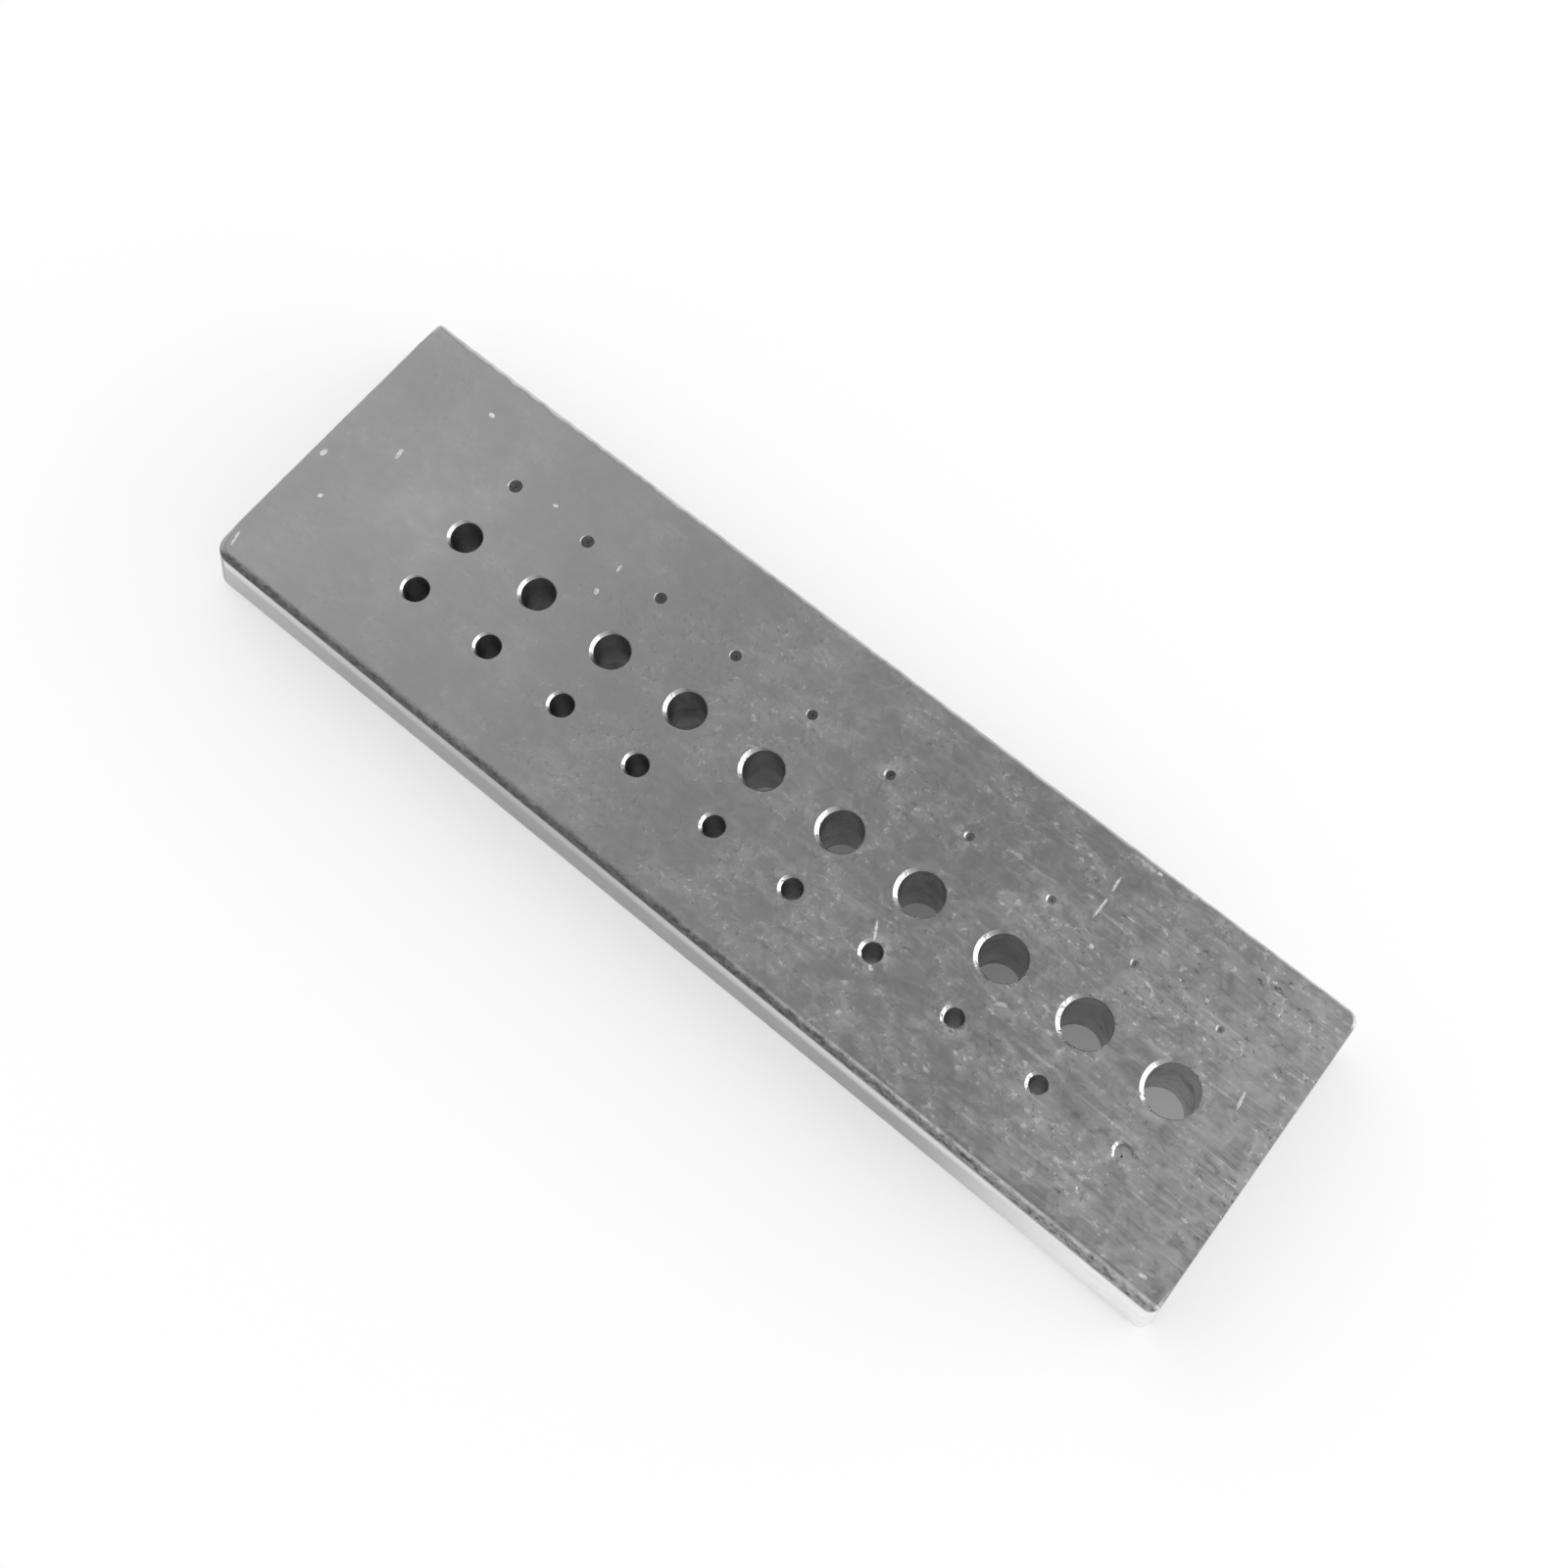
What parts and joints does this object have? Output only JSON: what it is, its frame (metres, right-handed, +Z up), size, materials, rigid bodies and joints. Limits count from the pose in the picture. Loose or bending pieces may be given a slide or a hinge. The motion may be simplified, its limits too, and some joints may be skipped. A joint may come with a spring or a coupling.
{
  "type": "riveting stake",
  "caption": "Flat rectangular steel block with rows of graded through holes, laid on a bench to carry small parts while rivets, staffs and pins are driven.",
  "frame": {"origin": "middle of the underside, on the plane that the block lies on", "axes": "+X along the block towards the end that has holes close to it, +Y across it towards the row of smallest holes, +Z up out of the working face"},
  "size_m": [0.1038, 0.0288, 0.0094],
  "materials": {
    "ground_steel": "ground and lightly scuffed"
  },
  "bodies": {
    "root": {"stake_block": "ground_steel"}
  },
  "joints": []
}
